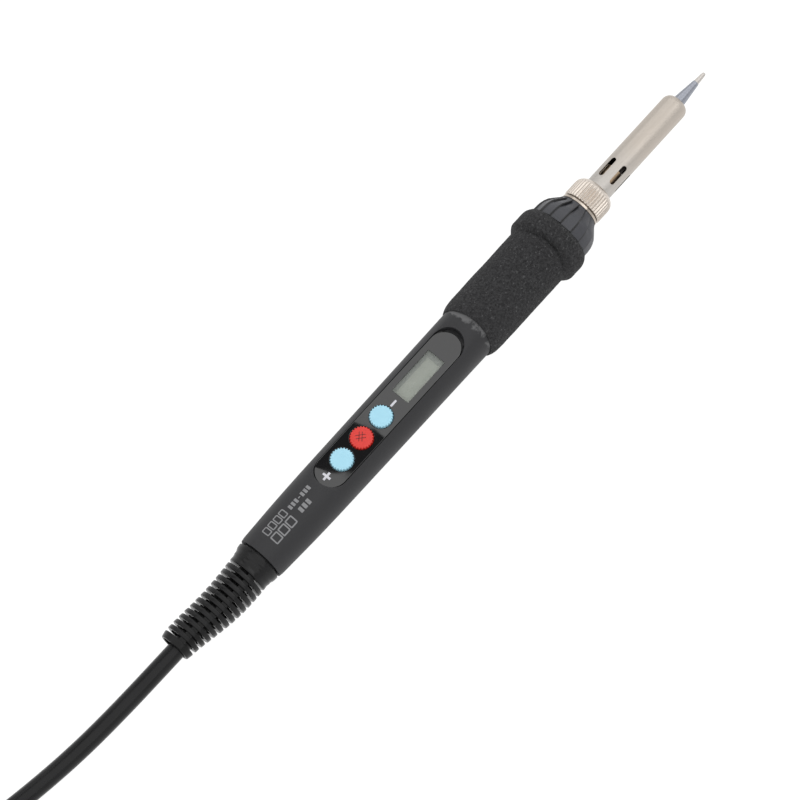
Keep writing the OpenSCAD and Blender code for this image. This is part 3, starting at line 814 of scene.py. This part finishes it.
def fluted(x, r, a):
    if r < NUT_R - 1.3:
        return x, r
    fade = 1 - eased((x - NUT_END + 2.6) / 1.8)
    fade *= eased((x - NUT_START) / 0.4)
    return x, r - 0.38 * fade * (0.5 - 0.5 * math.cos(FLUTES * a)) ** 1.4


nut = turned("barrel_nut", stepped(soften([(NUT_START, 5.53), (NUT_START, NUT_R - 0.3, 0.15),
    (NUT_START + 0.35, NUT_R, 0.2), (NUT_END - 2.0, NUT_R, 1.2), (NUT_END - 0.7, NUT_R - 0.75, 0.7),
    (NUT_END, NUT_R - 1.75, 0.3), (NUT_END, BARREL_R + 0.18), (NUT_END - 1.15, BARREL_R + 0.55),
    (NUT_END - 1.15, 5.53)], 0.1, 4), 0.4), around=FLUTES * 10, form=fluted)
nickel = surface("nickel-plated brass, rolled flutes", "dccfc2", 0.34, Metallic=1.0)
_place = millimetres(nickel)
_patch = add(nickel, "TexNoise", {"Vector": _place, "Scale": 1 / 2.2, "Detail": 5})
_plating = add(nickel, "MixRGB", {"Fac": _patch.outputs["Fac"], "Color1": paint("c8beb4"),
    "Color2": paint("dad2c9")})
_split = add(nickel, "SeparateXYZ", {0: _place}).outputs
_round = add(nickel, "Math", {0: _split["Z"], 1: _split["Y"]}, operation="ARCTAN2").outputs[0]
_flute = add(nickel, "Math", {0: add(nickel, "Math", {0: _round, 1: FLUTES},
    operation="MULTIPLY").outputs[0]}, operation="COSINE").outputs[0]
# painted shade: dark lines at the flutes' pitch, fading out towards the rounded front
_flute_shade = add(nickel, "MapRange", {"Value": _flute, "From Min": -0.2, "From Max": -1,
    "To Max": 0.5}).outputs[0]
_front = add(nickel, "MapRange", {"Value": _split["X"], "From Min": NUT_END - 2.2,
    "From Max": NUT_END - 1.2, "To Min": 1, "To Max": 0}).outputs[0]
drive(nickel, "Base Color", add(nickel, "MixRGB", {"Fac": add(nickel, "Math", {0: _flute_shade,
    1: _front}, operation="MULTIPLY").outputs[0], "Color1": _plating.outputs[0],
    "Color2": paint("83786c")}).outputs[0])
drive(nickel, "Roughness", add(nickel, "MapRange", {"Value": _patch.outputs["Fac"],
    "From Min": 0.3, "From Max": 0.7, "To Min": 0.28, "To Max": 0.42}).outputs[0])
finish(nut, nickel, "nut", "nut_nickel", "barrel_nut", sharp=40)
bright_nickel = surface("nickel-plated bush, bright", "b5aba0", 0.2, Metallic=1.0)
_place = millimetres(bright_nickel)
_turning = add(bright_nickel, "TexWave", {"Vector": _place, "Scale": 1 / 0.5, "Distortion": 0.4})
drive(bright_nickel, "Roughness", add(bright_nickel, "MapRange", {
    "Value": _turning.outputs["Fac"], "To Min": 0.14, "To Max": 0.3}).outputs[0])
dress("threaded_bush", bright_nickel)

# ---- Barrel ----
# A thin stainless tube with a satin finish drawn lengthwise, its mouth spun in to hold the tip and
# its foot flared under the nut. Six slots behind its middle let air in. Heat has left it warmer
# in colour towards the mouth.
BARREL_START, BARREL_END, _ = reach("barrel")
SLOT_START = NUT_END + 3
SLOT_LEN = 7.2
SLOT_W = 1.7
SLOT_TURN = math.radians(38.3)
SLOTS = 6
WALL = 0.5
MOUTH_R = 2.3
ROUND = 2.6
MOUTH_END = BARREL_END - 0.4


def slot_tool(k):
    tool = slab("slot", [lozenge(SLOT_START, SLOT_START + SLOT_LEN, SLOT_W)], 3.3, 5.5, 0.001)
    tool.data.transform(Matrix.Rotation(SLOT_TURN + 2 * math.pi * k / SLOTS, 4, "X"))
    return tool


round_over = [(MOUTH_END - ROUND + ROUND * math.sin(a), BARREL_R - 2.1 * (1 - math.cos(a)))
    for a in (math.radians(9 * k) for k in range(10))]
barrel = turned("barrel", [(BARREL_START, 3.78), (BARREL_START, 5.1), (BARREL_START + 0.1, 5.2),
    (BARREL_START + 0.6, 5.2), (BARREL_START + 0.7, 5.1), (BARREL_START + 0.75, BARREL_R + 0.38),
    (BARREL_START + 2.1, BARREL_R), *round_over[:-1], (MOUTH_END - 0.05, MOUTH_R + 0.1),
    (MOUTH_END - 0.12, MOUTH_R), (MOUTH_END - 0.6, MOUTH_R), (MOUTH_END - ROUND,
    BARREL_R - WALL)], around=128)
cut(barrel, *[slot_tool(k) for k in range(SLOTS)])
slot_edges = barrel.modifiers.new("edges", "BEVEL")
slot_edges.width = 0.05
slot_edges.segments = 1
slot_edges.limit_method = "ANGLE"
slot_edges.angle_limit = math.radians(60)
settle(barrel)
steel = surface("stainless tube, satin drawn", "b0a9a2", 0.5, Metallic=1.0)
_place = millimetres(steel)
_long = add(steel, "Mapping", {"Vector": _place, "Scale": (0.03, 1, 1)})
_streaks = add(steel, "TexNoise", {"Vector": _long.outputs[0], "Scale": 1 / 0.7, "Detail": 6,
    "Roughness": 0.6})
_broad = add(steel, "TexNoise", {"Vector": _long.outputs[0], "Scale": 1 / 3, "Detail": 2})
_along = add(steel, "SeparateXYZ", {0: _place}).outputs["X"]
_heat = add(steel, "MapRange", {"Value": _along, "From Min": NUT_END + 2,
    "From Max": NUT_END + 18})
_tone = add(steel, "MixRGB", {"Fac": _heat.outputs[0], "Color1": paint("bcb8b3"),
    "Color2": paint("bdb5ac")})
_lines = add(steel, "MixRGB", {"Fac": 0.3, "Color1": _tone.outputs[0],
    "Color2": _broad.outputs["Fac"]}, blend_type="SOFT_LIGHT")
# painted shade: the tube's inner wall, back from the mouth, is coloured near black as if in shadow
_inner_wall_shade = within(steel, _place, BARREL_R - 0.08)
_shade_behind_mouth = add(steel, "MapRange", {"Value": _along, "From Min": BARREL_END - 6,
    "From Max": BARREL_END - 4, "To Min": 1, "To Max": 0})
drive(steel, "Base Color", add(steel, "MixRGB", {"Fac": add(steel, "Math", {
    0: _inner_wall_shade, 1: _shade_behind_mouth.outputs[0]}, operation="MULTIPLY").outputs[0],
    "Color1": _lines.outputs[0], "Color2": paint("1c1712")}).outputs[0])
drive(steel, "Roughness", add(steel, "MapRange", {"Value": _streaks.outputs["Fac"],
    "From Min": 0.3, "From Max": 0.7, "To Min": 0.42, "To Max": 0.58}).outputs[0])
drive(steel, "Normal", add(steel, "Bump", {"Height": _streaks.outputs["Fac"],
    "Distance": 0.015 * MM}).outputs[0])
finish(barrel, steel, "barrel", "barrel_steel", "barrel", sharp=40)

# ---- Soldering tip ----
# A copper core plated with iron and chrome: a fine cone with a dull bluish skin, with painted shade
# that makes it nearly black where it lies inside the barrel. Its last few millimetres are left
# unchromed and wetted with solder, thinner by a small step.
TIP_START, TIP_END, _ = reach("soldering_tip")
TINNED = 4.2
CONE_R = 2.0
STEP_R = 1.02
tip = turned("soldering_tip", [Vector((TIP_START, 0))] + soften([(TIP_START, 3.25),
    (BARREL_END - 4.6, 3.25), (BARREL_END - 3, 2.15), (MOUTH_END - 0.4, CONE_R + 0.03),
    (TIP_END - TINNED, STEP_R), (TIP_END - TINNED + 0.12, STEP_R - 0.1), (TIP_END - 1, 0.68, 0.4),
    (TIP_END - 0.3, 0.58, 0.3), (TIP_END - 0.01, 0.35, 0.2)], 0.08, 3) +
    [Vector((TIP_END, 0))], around=64)
chrome = surface("dull chrome with a solder-wetted end", "9a9eab", 0.32, Metallic=1.0)
_place = millimetres(chrome)
_along = add(chrome, "SeparateXYZ", {0: _place}).outputs["X"]
_wetted = add(chrome, "MapRange", {"Value": _along, "From Min": TIP_END - TINNED - 0.05,
    "From Max": TIP_END - TINNED + 0.1})
_rings = add(chrome, "TexNoise", {"Vector": add(chrome, "Mapping", {"Vector": _place,
    "Scale": (1, 0.15, 0.15)}).outputs[0], "Scale": 1 / 0.35, "Detail": 4})
_cone = add(chrome, "MixRGB", {"Fac": _rings.outputs["Fac"], "Color1": paint("888b92"),
    "Color2": paint("a3a6af")})
# painted shade: near black where the tip lies inside the barrel
_barrel_shade = add(chrome, "MapRange", {"Value": _along, "From Min": BARREL_END - 5,
    "From Max": BARREL_END - 3.5, "To Min": 1, "To Max": 0})
_skin = add(chrome, "MixRGB", {"Fac": _barrel_shade.outputs[0], "Color1": _cone.outputs[0],
    "Color2": paint("15120f")})
drive(chrome, "Base Color", add(chrome, "MixRGB", {"Fac": _wetted.outputs[0],
    "Color1": _skin.outputs[0], "Color2": paint("c2bdb8")}).outputs[0])
drive(chrome, "Roughness", add(chrome, "MapRange", {"Value": _rings.outputs["Fac"],
    "To Min": 0.26, "To Max": 0.42}).outputs[0])
finish(tip, chrome, "tip", "tip_chrome", "soldering_tip")

# ---- Cord boot ----
# A strain relief moulded in black PVC rubber round the cord, with a smooth glossy skin. Its base
# plugs into the handle. Twelve thin rings follow, held apart by two spines of small tabs that twist
# a little round the cord, and an end ring with a wide mouth. The cord has bent it slightly.
BOOT_END = reach("cord_boot")[0]
BASE_END = -6.3
BOOT_BORE = 4.1
RIBS = 12
RIB_PITCH = (BASE_END - BOOT_END - 3.2) / RIBS
RIB_W = 1.4

boot_parts = [turned("base", soften([(SEAT_LEN - 1, 2.9), (SEAT_LEN - 1, 6.1), (-0.05, 6.1),
    (-0.7, 6.1), (-0.75, 7.3, 0.15), (-2.2, 7.2, 0.8), (-3.1, 6.7, 0.6), (-3.9, 6.75, 0.5),
    (-4.6, 6.45, 0.8), (BASE_END + 0.3, 6.6, 0.3), (BASE_END, 6.4, 0.2), (BASE_END, 2.9)], 0.1, 4))]
for k in range(RIBS):
    x, r = BASE_END - (k + 1) * RIB_PITCH, 6.6 - 1.2 * ((k + 1) / RIBS) ** 1.5
    boot_parts.append(turned("rib", soften([(x, BOOT_BORE), (x, r, 0.25), (x + RIB_W, r, 0.25),
        (x + RIB_W, BOOT_BORE)], 0.15, 4)))
boot_parts.append(turned("end_ring", soften([(BOOT_END, BOOT_BORE, 0.3), (BOOT_END, 4.9, 0.3),
    (BOOT_END + 2.2, 5.35, 0.3), (BOOT_END + 2.2, BOOT_BORE)], 0.15, 4)))
for side in (0, math.pi):
    rings = []
    for k in range(49):
        x = BASE_END + 0.5 + (BOOT_END + 2 - BASE_END - 0.5) * k / 48
        twist = Matrix.Rotation(math.radians(30 - 11 * k / 48) + side, 3, "X")
        outer = 5.5 - 0.6 * k / 48
        rings.append([twist @ Vector((x, y, z)) for y, z in block(-1.05, 1.05, 4.25, outer, 0.15)])
    boot_parts.append(skin("spine", rings))


def bent(back):
    """How far the cord has pulled the boot aside, at a share of its length behind the handle."""
    return (35.4 * back - 14.9 - 19.5 * back ** 2) * back ** 2


boot = joined("cord_boot", boot_parts)
for v in boot.data.vertices:
    back = max(v.co.x / BOOT_END, 0)
    v.co.y += bent(back)
rubber = surface("black PVC rubber, glossy moulded", "131314", 0.3, Specular_IOR_Level=0.26)
_place = millimetres(rubber)
_shade = mottle(rubber, _place, 4, "0e0e0f", "151516", (0.22, 0.32), 0.01, 0.5)
# painted shade: near black nearer the cord than 5.6 mm, where the gaps between the rings lie in shadow
_gap_shade = within(rubber, _place, 5.6, 0.7)
drive(rubber, "Base Color", add(rubber, "MixRGB", {"Fac": _gap_shade, "Color1": _shade,
    "Color2": paint("040404")}).outputs[0])
finish(boot, rubber, "handle", "boot_rubber", "cord_boot")

# ---- Cord tie ----
# A flat twist tie, black plastic with a wire core, wound once round the waist of the hank. Its two
# ends are twisted together and lie in the hollow of the waist.
tie_low, tie_high = (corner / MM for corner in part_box("cord_tie"))
rim = [Vector(p) for p in block(tie_low.y + TIE_T, tie_high.y - TIE_T, TIE_T + 0.02,
    tie_high.z - TIE_T, CORD_D / 2)]
rim = stepped(rim, 1.2)
rings = []
for k, here in enumerate(rim):
    run = (rim[(k + 1) % len(rim)] - rim[k - 1]).normalized()
    out = Vector((0, run.y, -run.x))
    wave = 0.12 * noise.noise(Vector((here.x / 5, here.y / 5, 0)))
    rings.append([Vector((HANK_MID + w + wave, here.x, here.y)) + t * out for w, t in (
        (-3.5, 0.08), (-3.42, 0.4), (-3.1, 0.52), (-2.2, 0.38), (0, 0.56), (2.2, 0.38),
        (3.1, 0.52), (3.42, 0.4), (3.5, 0.08), (3.3, 0), (-3.3, 0))])
tie = skin("band", rings, loop=True)
rings = []
for k in range(61):
    t = k / 60
    middle = Vector((HANK_MID + 1 + 9 * t, tie_low.y + 0.1 - 2.6 * eased(t * 2) + 1.5 * t,
        11 + 3.5 * t))
    half = 2.4 - 0.8 * eased(t * 6) + 0.6 * eased(t * 3 - 2)
    turn = Matrix.Rotation(5 * math.pi * t, 3, "X")
    rings.append([middle + turn @ Vector((0, y, z)) for y, z in block(-0.55, 0.55, -half, half, 0.3)])
tie = joined("cord_tie", [tie, skin("twisted_ends", rings)])
tie.data.transform(LAID.inverted() @ Matrix.Scale(MM, 4))
tie_film = plain("black PVC tie, satin", "161617", "222224", (0.35, 0.5), 3, 0.02, 0.6)
finish(tie, tie_film, "handle", "tie_plastic", "cord_tie")

# ---- Plug ----
# An earthed three-pin plug moulded in black PVC round its blades, with a broad face, waisted sides
# with finger ribs and a segmented relief where the cord leaves. Blades and pin are bare brass.
PLUG_LEN = 32
plug_low, plug_high = (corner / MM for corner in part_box("plug_body"))
PLUG_FACE = plug_low.x
PLUG_Y = (plug_low.y + plug_high.y) / 2
PLUG_Z = (plug_low.z + plug_high.z) / 2
# Each row is a distance from the cord's end, a half width, a half height and how square it is.
PLUG_FORM = [(-1, 2.5, 2.5, 2), (0, 5.6, 5.4, 2.1), (2, 7.6, 7.2, 2.3), (6, 9.6, 8.8, 2.6),
    (11, 10.2, 9.2, 2.9), (16, 10.4, 9.2, 3.1), (20, 11.2, 9.8, 3.4), (23, 12.3, 10.8, 3.8),
    (24.5, 12.45, 10.95, 4), (31.2, 12.45, 10.95, 4), (31.8, 12.2, 10.7, 4), (32, 11.7, 10.2, 4)]
rings = []
for k in range(129):
    u = -1 + 33 * k / 128
    i = max(j for j in range(len(PLUG_FORM) - 1) if PLUG_FORM[j][0] <= u)
    a, b = PLUG_FORM[i], PLUG_FORM[i + 1]
    w, h, power = (p + (q - p) * (u - a[0]) / (b[0] - a[0]) for p, q in zip(a[1:], b[1:]))
    ribbed = eased((u - 6.5) / 1.5) * eased((20 - u) / 1.5)
    grip_rib = 0.45 * ribbed * (0.5 - 0.5 * math.cos(2 * math.pi * u / 2.6))
    ring = []
    for n in range(72):
        c, d = math.cos(2 * math.pi * n / 72), math.sin(2 * math.pi * n / 72)
        y = math.copysign(abs(c) ** (2 / power), c) * (w - grip_rib * abs(c) ** 2)
        z = math.copysign(abs(d) ** (2 / power), d) * h
        ring.append(Vector((u, y, z)))
    rings.append(ring)
relief_outline = [(-18, 2.95), (-18, 3.8, 0.3)]
for k in range(5):
    x, r = -15.2 + 3.1 * k, 4.15 + 0.38 * k
    relief_outline += [(x, r, 0.3), (x, r - 0.9, 0.2), (x + 0.9, r - 0.9, 0.2), (x + 0.9, r + 0.1, 0.3)]
relief_outline += [(1.5, 6), (1.5, 2.95)]
plug = joined("plug", [skin("body", rings), turned("relief", soften(relief_outline, 0.15, 3))])
plug.data.transform(LAID.inverted() @ Matrix.Translation(Vector((PLUG_FACE + PLUG_LEN, PLUG_Y,
    PLUG_Z)) * MM) @ Matrix.Rotation(math.pi, 4, "Z") @ Matrix.Scale(MM, 4))
vinyl = plain("black PVC, matt moulded", "141415", "1e1e20", (0.4, 0.55), 5, 0.02, 0.6)
finish(plug, vinyl, "handle", "plug_plastic", "plug_body")
brass = surface("bare brass, stamped", "c9ac64", 0.32, Metallic=1.0)
mottle(brass, millimetres(brass), 2.5, "b8985a", "d6bc78", (0.26, 0.42), 0.004, 0.4)
dress("plug_blades", brass)
dress("plug_earth_pin", brass)

# ---- Parts inside the handle ----
# The circuit board is glass epoxy under green lacquer, with copper tracks that show through it.
# Its switches, chip, triac, capacitors, resistor and fuse are bought parts in their usual colours.
board_green = surface("green solder mask on glass epoxy", "1f5c38", 0.35)
_place = millimetres(board_green)
_tracks = add(board_green, "TexBrick", {"Vector": _place, "Color1": paint("1d5a36"),
    "Color2": paint("246641"), "Mortar": paint("17492c"), "Scale": 1 / 2.4, "Mortar Size": 0.05})
_weave = add(board_green, "TexNoise", {"Vector": _place, "Scale": 1 / 0.5, "Detail": 2})
drive(board_green, "Base Color", _tracks.outputs["Color"])
drive(board_green, "Roughness", add(board_green, "MapRange", {"Value": _weave.outputs["Fac"],
    "To Min": 0.28, "To Max": 0.45}).outputs[0])
dress("circuit_board", board_green)
for name, finish_name, dark, light, rough in (
        ("lcd_carrier", "white polystyrene, moulded", "dcdcd6", "eaeae5", (0.45, 0.6)),
        ("switch_bodies", "black nylon, moulded", "232325", "2e2e30", (0.45, 0.6)),
        ("control_chip", "black epoxy, matt", "161617", "202022", (0.55, 0.7)),
        ("power_triac", "black epoxy, moulded", "18181a", "222224", (0.5, 0.65)),
        ("film_capacitor", "yellow polyester box", "caa726", "dcbb3a", (0.4, 0.5)),
        ("filter_capacitor", "dark blue shrink sleeve", "232850", "30366a", (0.3, 0.42)),
        ("dropper_resistor", "blue-grey lacquer", "738a9c", "8ba1b2", (0.3, 0.45)),
        ("safety_fuse", "glazed ceramic", "c4bead", "d8d3c4", (0.25, 0.4)),
        ("live_core", "brown PVC insulation", "5d3419", "704327", (0.35, 0.5)),
        ("neutral_core", "blue PVC insulation", "2856a6", "3768ba", (0.35, 0.5)),
        ("earth_core", "green PVC insulation", "6f9c22", "86b335", (0.35, 0.5)),
        # painted shade: the heater is coloured near black as it lies in shadow inside the barrel
        ("heater_element", "alumina rod, painted shade dark", "2a2521", "3a332d", (0.5, 0.65))):
    dress(name, plain(finish_name, dark, light, rough))
for plunger in ("plunger_plus", "plunger_set", "plunger_minus"):
    dress(plunger, plain("black nylon, pressed pin", "1b1b1c", "262628", (0.4, 0.55)))
for name, finish_name, dark, light, rough in (
        ("switch_domes", "stainless spring dome, bright", "c0c0bb", "d2d2ce", (0.15, 0.3)),
        ("heater_holder", "steel sleeve, heat-tinted brown", "a08a70", "c4ae94", (0.3, 0.5)),
        ("heater_leads", "tinned copper wire", "c8c5be", "dedbd4", (0.25, 0.4)),
        ("cord_retainer", "zinc-plated steel clamp", "aaa8a2", "c2c0b9", (0.3, 0.45))):
    dress(name, plain(finish_name, dark, light, rough, 2, 0.004, 0.4, Metallic=1.0))
